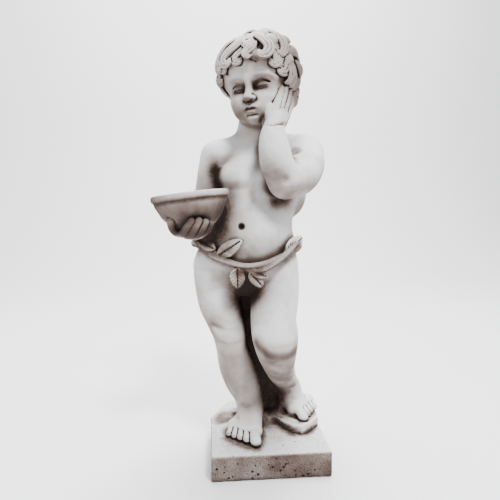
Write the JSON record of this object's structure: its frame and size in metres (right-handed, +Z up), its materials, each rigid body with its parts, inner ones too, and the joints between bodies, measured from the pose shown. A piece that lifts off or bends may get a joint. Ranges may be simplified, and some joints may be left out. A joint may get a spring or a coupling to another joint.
{
  "type": "cherub garden statue",
  "caption": "Cast-stone garden statue of a standing cherub resting its cheek on one hand and holding out a bowl, with a vine round its hips, on a low block base.",
  "frame": {"origin": "middle of the base's flat underside", "axes": "+Z up; -Y the way the figure faces; +X the figure's own left, which is the viewer's right"},
  "size_m": [0.3033, 0.257, 0.7589],
  "materials": {
    "cast_stone": "matte"
  },
  "bodies": {
    "root": {"cherub_statue": "cast_stone"}
  },
  "joints": []
}
